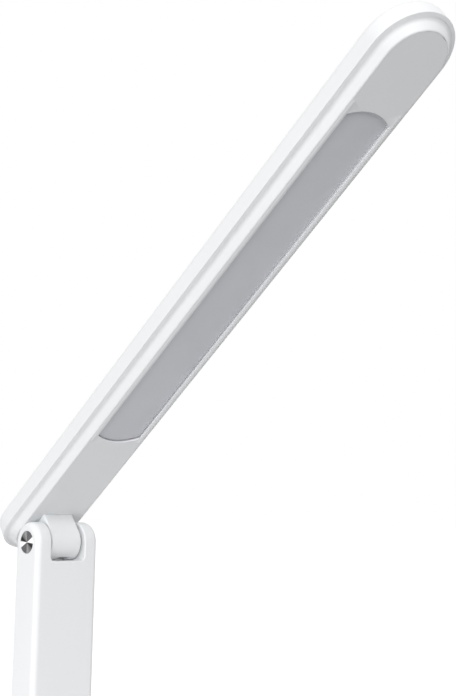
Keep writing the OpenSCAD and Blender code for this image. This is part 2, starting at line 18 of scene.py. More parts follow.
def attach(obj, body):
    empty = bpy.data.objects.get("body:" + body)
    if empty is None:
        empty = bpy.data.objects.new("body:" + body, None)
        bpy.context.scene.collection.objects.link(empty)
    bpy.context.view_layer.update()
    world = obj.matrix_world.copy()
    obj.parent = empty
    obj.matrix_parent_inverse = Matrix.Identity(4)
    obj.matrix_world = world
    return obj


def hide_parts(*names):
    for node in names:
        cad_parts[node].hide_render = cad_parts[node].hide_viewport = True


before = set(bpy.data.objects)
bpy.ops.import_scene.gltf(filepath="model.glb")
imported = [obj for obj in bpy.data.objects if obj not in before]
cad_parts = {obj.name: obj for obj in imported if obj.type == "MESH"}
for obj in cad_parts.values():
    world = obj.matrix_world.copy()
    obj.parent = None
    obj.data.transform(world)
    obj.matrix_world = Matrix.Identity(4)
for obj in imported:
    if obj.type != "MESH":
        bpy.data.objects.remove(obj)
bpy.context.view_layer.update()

# %% [markdown]
# ## The camera
# The photograph looks up a little at the lamp from its left front corner. A camera could
# be pushed about by hand until two pictures agree, but that never quite ends. The upper
# hinge is the easiest point to find in the picture, so the camera is worked out from
# where that hinge lies in the frame, how far away it is, and three angles. A focal length
# in pixels becomes millimetres of lens through the sensor width, which Blender measures
# along the long side of the picture.

# %% Camera at the photograph's viewing angle
MM = 0.001
PICTURE_SIZE = (456, 696)
FOCAL_PIXELS = 1250.21
HINGE_PIXEL = (57.15, 542.08)
HINGE_DISTANCE = 618.36 * MM
AZIMUTH = math.radians(-42.41)
ELEVATION = math.radians(-7.12)
ROLL = math.radians(1.12)
SENSOR_WIDTH = 36.0
FARTHEST_SEEN = 100.0

hinge_y = 70.0
lower_axis_z = 45.4
upper_axis_z = 375.4
upper_axis = Vector((0, hinge_y, upper_axis_z)) * MM

backward = Vector((
    math.sin(AZIMUTH) * math.cos(ELEVATION),
    -math.cos(AZIMUTH) * math.cos(ELEVATION),
    math.sin(ELEVATION),
))
level_right = Vector((math.cos(AZIMUTH), math.sin(AZIMUTH), 0))
level_up = backward.cross(level_right)
right = level_right * math.cos(ROLL) + level_up * math.sin(ROLL)
upward = level_up * math.cos(ROLL) - level_right * math.sin(ROLL)

metres_per_pixel = HINGE_DISTANCE / FOCAL_PIXELS
shift_right = (HINGE_PIXEL[0] - PICTURE_SIZE[0] / 2) * metres_per_pixel
shift_down = (HINGE_PIXEL[1] - PICTURE_SIZE[1] / 2) * metres_per_pixel
hinge_to_camera = backward * HINGE_DISTANCE - right * shift_right + upward * shift_down
camera_place = upper_axis + hinge_to_camera

camera = bpy.data.objects.new("camera", bpy.data.cameras.new("camera"))
bpy.context.scene.collection.objects.link(camera)
camera.data.sensor_width = SENSOR_WIDTH
camera.data.lens = FOCAL_PIXELS / max(PICTURE_SIZE) * SENSOR_WIDTH
camera.data.clip_end = FARTHEST_SEEN
turned = Matrix((right, upward, backward)).transposed().to_4x4()
camera.matrix_world = Matrix.Translation(camera_place) @ turned
bpy.context.scene.camera = camera
bpy.context.scene.view_settings.view_transform = "Standard"
print("camera at", [round(v, 4) for v in camera_place], "lens", round(camera.data.lens, 2))

# %% [markdown]
# ## Mesh helpers
# Every skin of this lamp starts as a drawn outline with rounded corners, as it would on a
# mould maker's drawing. Boxes with a bevel modifier would be quicker to make, but each
# rounding of another size would need an edge weight of its own. Here a corner is written
# as a place and a radius, and one function turns the list into points. The other helpers
# join rows of points into faces and fill a flat region round its holes. Lengths are in
# millimetres until a point becomes a vertex.

# %% Outlines with rounded corners
def soften(corners, steps=5, closed=True):
    """Points of an outline whose corners (x, y, radius) are rounded."""
    outline = []
    last = len(corners) - 1
    for i, (x, y, radius) in enumerate(corners):
        here = Vector((x, y))
        if radius == 0 or (not closed and i in (0, last)):
            outline.append(here)
            continue
        to_last = (Vector(corners[i - 1][:2]) - here).normalized()
        to_next = (Vector(corners[(i + 1) % (last + 1)][:2]) - here).normalized()
        half_angle = to_last.angle(to_next) / 2
        middle = here + (to_last + to_next).normalized() * radius / math.sin(half_angle)
        start = here + to_last * radius / math.tan(half_angle) - middle
        end = here + to_next * radius / math.tan(half_angle) - middle
        for step in range(steps + 1):
            outline.append(middle + start.lerp(end, step / steps).normalized() * radius)
    return outline


def rounded_rectangle(half_x, half_y, radius, steps=5, middle=(0, 0)):
    """Points round a rectangle with equal corners."""
    x, y = middle
    return soften([
        (x + half_x, y - half_y, radius), (x + half_x, y + half_y, radius),
        (x - half_x, y + half_y, radius), (x - half_x, y - half_y, radius),
    ], steps)


def stadium(radius, near_y, far_y, steps=40, x=0.0):
    """Points round two half circles joined by straight sides, along Y."""
    outline = []
    for middle, start in ((near_y, 0.0), (far_y, math.pi)):
        for step in range(steps + 1):
            angle = start + math.pi * step / steps
            outline.append(Vector((x + radius * math.cos(angle), middle + radius * math.sin(angle))))
    return outline


print("points round a rectangle:", len(rounded_rectangle(2, 1, 0.5)))

# %% Loops of vertices on three planes
def level_loop(bm, outline, z):
    """Vertices of an outline in X and Y at one height."""
    return [bm.verts.new(Vector((x, y, z)) * MM) for x, y in outline]


def front_loop(bm, outline, y):
    """Vertices of an outline in X and Z at one depth."""
    return [bm.verts.new(Vector((x, y, z)) * MM) for x, z in outline]


def side_loop(bm, outline, x):
    """Vertices of an outline in Y and Z at one place across."""
    return [bm.verts.new(Vector((x, y, z)) * MM) for y, z in outline]


# %% Faces between loops and inside them
def join_loops(bm, first, second, skip=()):
    """Quads between two closed loops of the same length."""
    count = len(first)
    for i in range(count):
        if i not in skip:
            j = (i + 1) % count
            bm.faces.new((first[i], first[j], second[j], second[i]))


def join_all(bm, loops):
    """Quads between each loop and the next."""
    for first, second in zip(loops, loops[1:]):
        join_loops(bm, first, second)


def fill_flat(bm, *loops):
    """Fills a flat region: the first loop is its edge and the others are holes."""
    edges = []
    for loop in loops:
        for a, b in zip(loop, loop[1:] + loop[:1]):
            edges.append(bm.edges.get((a, b)) or bm.edges.new((a, b)))
    facing = polygon_normal([vertex.co for vertex in loops[0]])
    bmesh.ops.triangle_fill(bm, use_beauty=True, edges=edges, normal=facing)


# %% [markdown]
# ## From a mesh to a piece of the lamp
# A finished mesh needs clean normals, smooth shading, a material, and the body that it
# rides on. Smooth shading alone would bend the light over a large flat face next to a
# small rounding. Weighted normals fix that: the biggest face at each corner decides, so
# the flats stay flat and only the roundings catch the light.

# %% Finishing a piece
MERGE_DISTANCE = 0.001
FLAT_FACE_WEIGHT = 80


def make_piece(name, bm, finish, body, nodes, place=None):
    """Turns a mesh into a piece that stands for CAD nodes and rides on a body."""
    bmesh.ops.remove_doubles(bm, verts=bm.verts, dist=MERGE_DISTANCE * MM)
    bmesh.ops.recalc_face_normals(bm, faces=bm.faces)
    mesh = bpy.data.meshes.new(name)
    bm.to_mesh(mesh)
    open_edges = sum(1 for edge in bm.edges if len(edge.link_faces) != 2)
    bm.free()
    mesh.shade_smooth()
    mesh.materials.append(finish)
    piece = bpy.data.objects.new(name, mesh)
    bpy.context.scene.collection.objects.link(piece)
    if place is not None:
        piece.matrix_world = place
    weighted = piece.modifiers.new("flat faces stay flat", "WEIGHTED_NORMAL")
    weighted.weight = FLAT_FACE_WEIGHT
    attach(piece, body)
    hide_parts(*nodes)
    print(f"{name}: {len(mesh.polygons)} faces, {open_edges} open edges")


# %% [markdown]
# ## White plastic
# The lamp is injection moulded in white plastic. The steel mould was etched very lightly,
# so the real surface is satin: it has no visible grain from a step away, but the gloss
# breaks up softly. A flat colour would look like paper. Slow noise moves the white by
# little more than one per cent, a second noise moves the roughness, and a very fine one
# raises the etched grain as bump. The underside panel is the same plastic, a little
# duller, and its colour is a shade darker as painted shade for the faces that look down.

# %% Nodes that a finish is made of
NOISE_LOW = 0.3
NOISE_HIGH = 0.7


def noise(tree, coordinates, scale, detail=2.0):
    """The height of a noise, which is finer where its scale is larger."""
    texture = tree.nodes.new("ShaderNodeTexNoise")
    texture.inputs["Scale"].default_value = scale
    texture.inputs["Detail"].default_value = detail
    tree.links.new(coordinates, texture.inputs["Vector"])
    return texture.outputs["Fac"]


def colour_between(tree, factor, dark, light):
    """A colour that goes from dark to light as the noise rises."""
    ramp = tree.nodes.new("ShaderNodeValToRGB")
    for element, position, colour in zip(
        ramp.color_ramp.elements, (NOISE_LOW, NOISE_HIGH), (dark, light)
    ):
        element.position = position
        element.color = (*colour, 1)
    tree.links.new(factor, ramp.inputs["Fac"])
    return ramp.outputs["Color"]


def value_between(tree, factor, low, high, start=NOISE_LOW, stop=NOISE_HIGH):
    """A number that goes from low to high as the factor goes from start to stop."""
    spread = tree.nodes.new("ShaderNodeMapRange")
    spread.inputs["From Min"].default_value = start
    spread.inputs["From Max"].default_value = stop
    spread.inputs["To Min"].default_value = low
    spread.inputs["To Max"].default_value = high
    tree.links.new(factor, spread.inputs["Value"])
    return spread.outputs["Result"]


def bump_from(tree, height, depth):
    """Relief that is as deep as the given number of millimetres."""
    bump = tree.nodes.new("ShaderNodeBump")
    bump.inputs["Strength"].default_value = 1.0
    bump.inputs["Distance"].default_value = depth * MM
    tree.links.new(height, bump.inputs["Height"])
    return bump.outputs["Normal"]


# %% A finish made of three layers of noise
ROUGHNESS_FINER = 6


def new_material(name):
    """An empty material, its node tree, its shader and the object's own coordinates."""
    material = bpy.data.materials.new(name)
    material.use_nodes = True
    tree = material.node_tree
    coordinates = tree.nodes.new("ShaderNodeTexCoord").outputs["Object"]
    return material, tree, tree.nodes["Principled BSDF"], coordinates


def noisy_finish(name, dark, light, rough, grain=(2400, 0.004), mottle=14, metallic=0.0):
    """Colour, roughness and fine relief from noise. The grain is a scale and a depth."""
    material, tree, shader, coordinates = new_material(name)
    shader.inputs["Metallic"].default_value = metallic
    slow = noise(tree, coordinates, mottle, 3.0)
    tree.links.new(colour_between(tree, slow, dark, light), shader.inputs["Base Color"])
    middle = noise(tree, coordinates, mottle * ROUGHNESS_FINER)
    tree.links.new(value_between(tree, middle, *rough), shader.inputs["Roughness"])
    fine = noise(tree, coordinates, grain[0], 1.0)
    tree.links.new(bump_from(tree, fine, grain[1]), shader.inputs["Normal"])
    return material


white_plastic = noisy_finish(
    "white_plastic", dark=(0.868, 0.881, 0.892), light=(0.882, 0.894, 0.904), rough=(0.40, 0.48)
)
# Painted shade: the same white plastic a shade darker, for the faces that look down
shaded_underside_plastic = noisy_finish(
    "shaded_underside_plastic", dark=(0.848, 0.860, 0.873), light=(0.862, 0.873, 0.886), rough=(0.46, 0.54)
)
print("finishes:", white_plastic.name, shaded_underside_plastic.name)

# %% [markdown]
# ## The head and its own axes
# The head is straightforward in its own axes: the hinge axis is the origin, the tip lies
# towards -Y and the lit underside looks down. Building it there and turning the finished
# piece by the head's elevation keeps every number as plain as on a drawing, and the
# noise of the finish runs along the head instead of across it.

# %% The head's place
HEAD_ELEVATION = 38.0
head_turn = Matrix.Rotation(math.radians(-HEAD_ELEVATION), 4, "X")
head_place = Matrix.Translation(upper_axis) @ head_turn

head_length = 338.5
head_radius = 20.75
head_thickness = 13.0
panel_drop = 4.2
tail_y = 4.5
tip_y = tail_y - (head_length - 2 * head_radius)
flat_z = 10.4
rim_z = flat_z + panel_drop
top_z = flat_z + head_thickness
ledge_slope = 0.14


def ledge_z(radius):
    """Height of the ledge that falls from the rim to the foot of the bevel."""
    return rim_z - (head_radius - radius) * ledge_slope


def head_rows(bm, profile):
    """One loop round the head for each point (radius, height) of a profile."""
    return [level_loop(bm, stadium(radius, tail_y, tip_y), z) for radius, z in profile]


print("head from y", round(tip_y - head_radius, 2), "to", round(tail_y + head_radius, 2))

# %% [markdown]
# ## The top shell of the head
# The head's body is a long tray, closed on top, with walls that stand straight. Seen from
# the side its upper edge is soft and its lower rim is nearly sharp. Sweeping one section
# round the outline gives the same rounding everywhere, the half circles at the ends
# included, which a bevel on finished corners would not do as evenly.

# %% Head top shell
panel_radius = 18.95
shell_inner = panel_radius + 0.05
shell_top_wall = 1.6
shell_edge = 3.0
rim_edge = 0.3
seam_edge = 0.05
shell_section = soften([
    (shell_inner, top_z - shell_top_wall, 0),
    (shell_inner, ledge_z(shell_inner), seam_edge),
    (head_radius, rim_z, rim_edge),
    (head_radius, top_z, shell_edge),
    (head_radius - 2 * shell_edge, top_z, 0),
], steps=6, closed=False)

bm = bmesh.new()
rows = head_rows(bm, shell_section)
join_all(bm, rows)
fill_flat(bm, rows[0])
fill_flat(bm, rows[-1])
make_piece(
    "head_shell", bm, white_plastic, "head", ["head_top_shell"], head_place
)

# %% [markdown]
# ## The underside panel
# The panel closes the tray from below and stands proud of its rim. Its edge is a white
# bevel whose foot runs out in a hollow into the ledge, and its flat face holds the light
# window. A narrow crowned bead runs along each long side of the window. The window and
# the beads could be cut into a finished plate, but cuts leave ragged faces that spoil the
# roundings. The flat is one region with holes in it instead, and it is filled round the
# window, the beads and the hinge block.

# %% Outline of the light window
window_half = 12.5
window_near = tail_y - 69.5
window_far = window_near - 203.0
window_end_radius = 21.7
window_end_steps = 16
window_depth = 1.3


def window_outline(margin):
    """Straight sides and two shallow curved ends, drawn outwards by a margin."""
    radius = window_end_radius + margin
    reach = math.asin((window_half + margin) / radius)
    outline = []
    for middle, start in (
        (window_near - window_end_radius, math.pi / 2 - reach),
        (window_far + window_end_radius, 1.5 * math.pi - reach),
    ):
        for step in range(window_end_steps + 1):
            angle = start + 2 * reach * step / window_end_steps
            outline.append(Vector((radius * math.cos(angle), middle + radius * math.sin(angle))))
    return outline


def opening_steps(lip, depth, share=0.3):
    """How far outside and how deep each loop of an opening with a soft lip lies."""
    return ((lip, 0), (lip * share, lip * share), (0, lip), (0, depth))


print("light window:", 2 * window_half, "by", window_near - window_far, "mm")

# %% Section of the panel and its openings
panel_inner = 17.2
panel_floor = 14.2
panel_flange = 2.0
panel_flange_edge = 0.2
bevel_foot = 17.6
bevel_foot_hollow = 2.0
bevel_nose = 15.47
bevel_nose_edge = 1.0
flat_radius = 14.95
panel_section = soften([
    (panel_floor, flat_z + window_depth, 0),
    (panel_inner, rim_z, 0),
    (panel_inner, rim_z + panel_flange, 0),
    (panel_radius, rim_z + panel_flange, panel_flange_edge),
    (panel_radius, ledge_z(panel_radius), seam_edge),
    (bevel_foot, ledge_z(bevel_foot), bevel_foot_hollow),
    (bevel_nose, flat_z, bevel_nose_edge),
    (flat_radius, flat_z, 0),
], steps=6, closed=False)
window_lip = 0.15
block_half = 8.6
block_edge = 1.0
block_gap = 0.05

bm = bmesh.new()
rows = head_rows(bm, panel_section)
join_all(bm, rows)
window_rows = [
    level_loop(bm, window_outline(margin), flat_z + depth)
    for margin, depth in opening_steps(window_lip, window_depth)
]
join_all(bm, window_rows)
block_hole = rounded_rectangle(block_half + block_gap, block_half + block_gap, block_edge + block_gap)
block_rows = [level_loop(bm, block_hole, z) for z in (flat_z, flat_z + window_depth)]
join_all(bm, block_rows)
print("bevel of the panel:", round(bevel_foot - bevel_nose, 2), "mm wide")

# %% Beads beside the window, and the flats round all of it
bead_x = 13.8
bead_half = 1.0
bead_height = 0.2
bead_near = window_near - 1
bead_far = window_far - 2

bead_edges = []
for side in (-1, 1):
    bead_rows = []
    for share in (1.0, 0.85, 0.65, 0.4, 0.15):
        outline = stadium(bead_half * share, bead_near, bead_far, 8, side * bead_x)
        bead_rows.append(level_loop(bm, outline, flat_z - bead_height * (1 - share ** 2)))
    join_all(bm, bead_rows)
    fill_flat(bm, bead_rows[-1])
    bead_edges.append(bead_rows[0])
fill_flat(bm, rows[-1], window_rows[0], block_rows[0], *bead_edges)
fill_flat(bm, rows[0], window_rows[-1], block_rows[-1])
make_piece(
    "head_panel", bm, shaded_underside_plastic, "head", ["head_lower_cover"], head_place
)

# %% [markdown]
# ## Blocks with a round end
# Both hinges use the same idea: a block with a round end stands in a slot between two
# ears. A cylinder joined to a box would leave a seam where they meet. Here the block is
# one outline of half circle and straight sides, drawn in Y and Z and stretched along X,
# and its side edges are rounded by insetting that outline over the last millimetre of
# the width. The wires leave through a pocket in the round face, so the faces over that
# pocket are left out and its walls are put in.

# %% Outline and side edges of a block
end_steps = 36
pocket_floor = 5.0


def round_end_outline(radius, top):
    """Half circle from -Y through -Z to +Y, closed by straight sides up to a top."""
    arc = []
    for step in range(end_steps + 1):
        angle = math.pi * step / end_steps
        arc.append(Vector((-radius * math.cos(angle), -radius * math.sin(angle))))
    return [Vector((-radius, top))] + arc + [Vector((radius, top))]


def side_rounding(half_width, edge, steps=4):
    """Places across the width with the inset of the outline at each: left, then right."""
    places = []
    for step in range(steps + 1):
        angle = math.pi / 2 * step / steps
        places.append((half_width - edge + edge * math.sin(angle), edge * (1 - math.cos(angle))))
    return [(-x, inset) for x, inset in reversed(places)], places


print("one step round a block:", 180 / end_steps, "degrees")

# %% A block and its wire pocket
def round_ended_block(bm, top, pocket, pocket_x):
    """The block, with a wire pocket between two steps of its half circle."""
    left, right_side = side_rounding(block_half, block_edge)
    across = left + [(x, 0.0) for x in pocket_x] + right_side
    rows = [side_loop(bm, round_end_outline(block_half - inset, top), x) for x, inset in across]
    # The outline starts with the top of the front side, one point before the half circle
    first = 1 + pocket[0]
    final = 1 + pocket[1]
    for i, (one, two) in enumerate(zip(rows, rows[1:])):
        join_loops(bm, one, two, range(first, final) if i == len(left) else ())
    bm.faces.new(rows[0])
    bm.faces.new(rows[-1])
    inner = round_end_outline(pocket_floor, top)[first:final + 1]
    floor = [side_loop(bm, inner, x) for x in pocket_x]
    mouth = [row[first:final + 1] for row in rows[len(left):len(left) + 2]]
    for k in range(final - first):
        bm.faces.new((floor[0][k], floor[0][k + 1], floor[1][k + 1], floor[1][k]))
        for side in (0, 1):
            bm.faces.new((mouth[side][k], mouth[side][k + 1], floor[side][k + 1], floor[side][k]))
    for k in (0, -1):
        bm.faces.new((mouth[0][k], floor[0][k], floor[1][k], mouth[1][k]))


def rounded_box(bm, low, high, edge):
    """A closed box whose upright edges are rounded."""
    middle = ((low[0] + high[0]) / 2, (low[1] + high[1]) / 2)
    outline = rounded_rectangle((high[0] - low[0]) / 2, (high[1] - low[1]) / 2, edge, 3, middle)
    loops = [level_loop(bm, outline, z) for z in (low[2], high[2])]
    join_all(bm, loops)
    for loop in loops:
        bm.faces.new(loop)


# %% [markdown]
# ## The hinge block under the head
# The head hangs on a block that grows out of the underside near the tail. Inside the head
# a flange spreads the load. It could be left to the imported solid, which the shells hide,
# but one piece stands for the whole node, so the flange is made here as well.

# %% Head hinge block
flange_z = flat_z + 3.0
flange_thickness = 2.5
flange_half = 13.5
flange_front = -16.0
flange_back = 12.0
flange_edge = 1.5
block_overlap = 1.0
wire_pocket_x = (-2.1, 3.8)
head_pocket_steps = (19, 27)

bm = bmesh.new()
round_ended_block(bm, flange_z + block_overlap, head_pocket_steps, wire_pocket_x)
flange_low = (-flange_half, flange_front, flange_z)
flange_high = (flange_half, flange_back, flange_z + flange_thickness)
rounded_box(bm, flange_low, flange_high, flange_edge)
make_piece(
    "hinge_block", bm, white_plastic, "head", ["head_knuckle"], head_place
)

# %% [markdown]
# ## The stem
# The stem is a bar of soft section with a full round at each end, and each end is slotted
# to leave two ears. A bar that is cut by two boxes would need its edges mended afterwards.
# So the skin is made as rows across the width, and the rounding of the upright edges runs
# on over the top of the ears in one sweep. Between the slots the front and back are
# single flat faces. The edges of the slots get a small bevel at the end, and each side
# face has a turned recess for the metal cap over the pin.

# %% Outline rows of the stem
stem_half = 18.0
stem_deep = 9.8
stem_edge = 3.0
slot_half = 10.0
slot_floor = 8.8
slot_corner = 2.4
slot_turn = slot_floor - slot_corner
arc_steps = 24


def stem_outline(inset):
    """Outline in Y and Z: over the top to the back, down it, under and up the front."""
    reach = stem_deep - inset
    outline = []
    for side, start, here, there in (
        (1, math.pi, upper_axis_z, lower_axis_z), (-1, 0.0, lower_axis_z, upper_axis_z),
    ):
        for step in range(arc_steps + 1):
            angle = start - math.pi * step / arc_steps
            outline.append(Vector((reach * math.cos(angle), here + reach * math.sin(angle))))
        outline.append(Vector((side * reach, here - side * slot_turn)))
        outline.append(Vector((side * reach, there + side * slot_turn)))
    return outline


# Places in that list: the ends of the straight back and of the straight front
back_top = arc_steps + 1
back_foot = arc_steps + 2
front_foot = 2 * arc_steps + 4
front_top = 2 * arc_steps + 5
print("points round the stem:", len(stem_outline(0)))

# %% Loops on the stem, whose middle lies at the hinges
def stem_side_loop(bm, outline, x):
    """Vertices of an outline in Y and Z, with Y from the stem's middle."""
    return side_loop(bm, [(hinge_y + y, z) for y, z in outline], x)


def stem_face_loop(bm, outline, y):
    """Vertices of an outline in X and Z, so far behind the stem's middle."""
    return front_loop(bm, outline, hinge_y + y)


def circle(radius, middle, steps=48):
    """Points round a circle."""
    turn = 2 * math.pi / steps
    return [
        Vector((middle[0] + radius * math.cos(turn * k), middle[1] + radius * math.sin(turn * k)))
        for k in range(steps)
    ]


# %% Side walls and ears of the stem
cap_recess_radius = 5.45
cap_recess_depth = 0.9
turned_lip = 0.25
turned_share = 0.28

bm = bmesh.new()
ears = {}
for side in (-1, 1):
    places = side_rounding(stem_half, stem_edge, 6)[1]
    rows = [stem_side_loop(bm, stem_outline(0), side * slot_half)]
    rows += [stem_side_loop(bm, stem_outline(inset), side * x) for x, inset in places]
    join_loops(bm, rows[0], rows[1], (back_top, front_foot))
    join_all(bm, rows[1:])
    recesses = []
    for axis_z in (lower_axis_z, upper_axis_z):
        recess = [
            stem_side_loop(
                bm, circle(cap_recess_radius + margin, (0, axis_z)), side * (stem_half - depth)
            )
            for margin, depth in opening_steps(turned_lip, cap_recess_depth, turned_share)
        ]
        join_all(bm, recess)
        bm.faces.new(recess[-1])
        recesses.append(recess[0])
    fill_flat(bm, rows[-1], *recesses)
    bm.faces.new([rows[0][front_top]] + rows[0][:back_top + 1])
    bm.faces.new(rows[0][back_foot:front_foot + 1])
    ears[side] = rows[:2]
print("width of the slots:", 2 * slot_half, "mm, of each ear:", stem_half - slot_half, "mm")

# %% Slots between the ears
def slot_profile(axis_z, down):
    """The bottom of a slot in X and Z, from its left wall to its right wall."""
    wall_z = axis_z - down * slot_turn
    floor_z = axis_z - down * slot_floor
    corners = [
        (-slot_half, wall_z, 0), (-slot_half, floor_z, slot_corner),
        (slot_half, floor_z, slot_corner), (slot_half, wall_z, 0),
    ]
    # The rounding starts where the walls end, so the walls' own points are left out
    return soften(corners, 6, closed=False)[1:-1]


slot_ends = {}
for axis_z, down, ends in (
    (upper_axis_z, 1, (front_top, back_top)), (lower_axis_z, -1, (front_foot, back_foot)),
):
    profile = slot_profile(axis_z, down)
    rims = []
    for y, end in zip((-stem_deep, stem_deep), ends):
        between = stem_face_loop(bm, profile[1:-1], y)
        rims.append([ears[-1][0][end]] + between + [ears[1][0][end]])
        slot_ends[end] = [ears[-1][1][end]] + rims[-1] + [ears[1][1][end]]
    for k in range(len(profile) - 1):
        bm.faces.new((rims[0][k], rims[0][k + 1], rims[1][k + 1], rims[1][k]))
print("points across a slot's floor:", len(profile))

# %% Front and back of the stem, with the opening for the back cover
cover_half = 14.8
cover_from_axis = 19.0
cover_corner = 1.5
cover_depth = 1.8
cover_lip = 0.2


def cover_outline(margin):
    """The opening for the back cover in X and Z, drawn outwards by a margin."""
    half_height = (upper_axis_z - lower_axis_z) / 2 - cover_from_axis + margin
    middle = (0, (upper_axis_z + lower_axis_z) / 2)
    return rounded_rectangle(cover_half + margin, half_height, cover_corner + margin, 4, middle)


bm.faces.new(slot_ends[front_top] + slot_ends[front_foot][::-1])
cover_opening = [
    stem_face_loop(bm, cover_outline(margin), stem_deep - depth)
    for margin, depth in opening_steps(cover_lip, cover_depth)
]
join_all(bm, cover_opening)
bm.faces.new(cover_opening[-1])
fill_flat(bm, slot_ends[back_top] + slot_ends[back_foot][::-1], cover_opening[0])
print("faces of the stem before its bevel:", len(bm.faces))

# %% Bevel round the slots
sharp_angle = 1.0
slot_bevel = 0.6
beyond_middle = 150.0
stem_middle_z = (upper_axis_z + lower_axis_z) / 2

bmesh.ops.recalc_face_normals(bm, faces=bm.faces)
slot_edges = [
    edge for edge in bm.edges
    if len(edge.link_faces) == 2 and edge.calc_face_angle() > sharp_angle
    and all(abs(v.co.x / MM) < slot_half + 0.01 for v in edge.verts)
    and all(abs(v.co.z / MM - stem_middle_z) > beyond_middle for v in edge.verts)
]
bmesh.ops.bevel(
    bm, geom=slot_edges, offset=slot_bevel * MM, segments=3, affect="EDGES", profile=0.5
)
make_piece("stem_skin", bm, white_plastic, "stem", ["stem_shell"])

# %% [markdown]
# ## The back cover of the stem
# A plate closes the back of the stem and hides the wires. It snaps in flush, so all that
# shows of it is a fine seam. A dark line in the finish could stand for that seam, but it
# would look drawn on. The seam is real here: the plate is a little smaller than its
# opening, and both have rounded edges.

# %% Stem back cover
cover_seam = 0.1
bm = bmesh.new()
plate_loops = [
    stem_face_loop(bm, cover_outline(-cover_seam - inset), stem_deep - depth)
    for inset, depth in reversed(opening_steps(cover_lip, cover_depth))
]
join_all(bm, plate_loops)
bm.faces.new(plate_loops[0])
bm.faces.new(plate_loops[-1])
make_piece("stem_cover", bm, white_plastic, "stem", ["stem_back_cover"])

# %% [markdown]
# ## The base
# The base is a low box with round corners and a soft upper edge, heavy inside. Its upper
# face has two openings, one for the lower hinge block and one for the touch key, and the
# back wall has the slot of the charging inlet. Again the skin is drawn in rows, each row
# inset a little more, and the flats are filled round their holes, so the openings get
# soft lips of their own.

# %% Walls of the base cover
base_half = (62.0, 90.0)
base_corner = 28.0
base_low = 1.5
base_top = 20.0
base_wall = 2.4
base_edge = 4.0
base_foot_edge = 0.5
corner_steps = 12


def base_loop(bm, inset, z):
    """A loop round the base, drawn inwards by an inset."""
    half_x, half_y = base_half
    outline = rounded_rectangle(half_x - inset, half_y - inset, base_corner - inset, corner_steps)
    return level_loop(bm, outline, z)


# Place in each loop where the straight rear wall starts, which has the inlet in it
rear = 2 * corner_steps + 1
bm = bmesh.new()
outer_section = soften([
    (base_wall, base_low, 0), (0, base_low, base_foot_edge),
    (0, base_top, base_edge), (2 * base_edge, base_top, 0),
], 8, closed=False)
outer_loops = [base_loop(bm, inset, z) for inset, z in outer_section]
inner_loops = [base_loop(bm, base_wall, z) for z in (base_low, base_top - base_wall)]
rises = [above[1] - below[1] for below, above in zip(outer_section, outer_section[1:])]
wall_row = rises.index(max(rises))
for k, (one, two) in enumerate(zip(outer_loops, outer_loops[1:])):
    join_loops(bm, one, two, (rear,) if k == wall_row else ())
join_loops(bm, *inner_loops, (rear,))
print("straight part of the base's wall:", round(max(rises), 2), "mm high")

# %% Opening for the charging inlet
inlet_middle = (-28.0, 8.1)
inlet_half = (4.45, 1.6)
inlet_corner = 1.4
opening_lip = 0.3

inlet_loops = []
for margin, depth in opening_steps(opening_lip, base_wall):
    half_x, half_z = (half + margin for half in inlet_half)
    outline = rounded_rectangle(half_x, half_z, inlet_corner + margin, 6, inlet_middle)
    inlet_loops.append(front_loop(bm, outline, base_half[1] - depth))
join_all(bm, inlet_loops)
for (low_loop, high_loop), rim in (
    (outer_loops[wall_row:wall_row + 2], inlet_loops[0]), (inner_loops, inlet_loops[-1]),
):
    patch = [low_loop[rear], low_loop[rear + 1], high_loop[rear + 1], high_loop[rear]]
    fill_flat(bm, patch, rim)
print("inlet:", 2 * inlet_half[0], "by", 2 * inlet_half[1], "mm")

# %% Openings for the hinge block and the touch key
key_y = -50.0
key_radius = 8.0
post_gap = 0.1

post_loops = []
key_loops = []
for margin, depth in opening_steps(opening_lip, base_wall):
    half = block_half + post_gap + margin
    post_outline = rounded_rectangle(half, half, block_edge + post_gap + margin, 5, (0, hinge_y))
    post_loops.append(level_loop(bm, post_outline, base_top - depth))
    key_outline = circle(key_radius + margin, (0, key_y), 64)
    key_loops.append(level_loop(bm, key_outline, base_top - depth))
join_all(bm, post_loops)
join_all(bm, key_loops)
fill_flat(bm, outer_loops[-1], post_loops[0], key_loops[0])
fill_flat(bm, inner_loops[-1], post_loops[-1], key_loops[-1])
make_piece("base_skin", bm, white_plastic, "base", ["base_cover"])

# %% [markdown]
# ## The lower hinge block
# The block in the base is the head's block upside down, on a foot that is screwed to the
# steel plate inside. It could be drawn again standing up, but the same function and half
# a turn give the same block. Its pocket for the wires looks the other way and is longer.

# %% Base hinge block
foot_bottom = 8.5
foot_thickness = 4.0
foot_half = (18.0, 14.0)
foot_edge = 1.5
base_pocket_steps = (16, 28)
lower_axis = Vector((0, hinge_y, lower_axis_z)) * MM
post_place = Matrix.Translation(lower_axis) @ Matrix.Rotation(math.pi, 4, "X")

bm = bmesh.new()
post_length = lower_axis_z - foot_bottom - foot_thickness
round_ended_block(bm, post_length + block_overlap, base_pocket_steps, wire_pocket_x)
foot_low = (-foot_half[0], -foot_half[1], post_length)
foot_high = (foot_half[0], foot_half[1], post_length + foot_thickness)
rounded_box(bm, foot_low, foot_high, foot_edge)
make_piece("base_block", bm, white_plastic, "base", ["base_post"], post_place)

# %% [markdown]
# ## The touch key
# The light is switched and dimmed by touch: a fingertip over this spot is felt by a
# spring behind it, so the key never moves. It is a shallow dish set flush in the cover.
# A flattened ball could be cut to that shape, but a revolved section is the natural way
# to make it, and it puts the points where the edge and the dish need them.

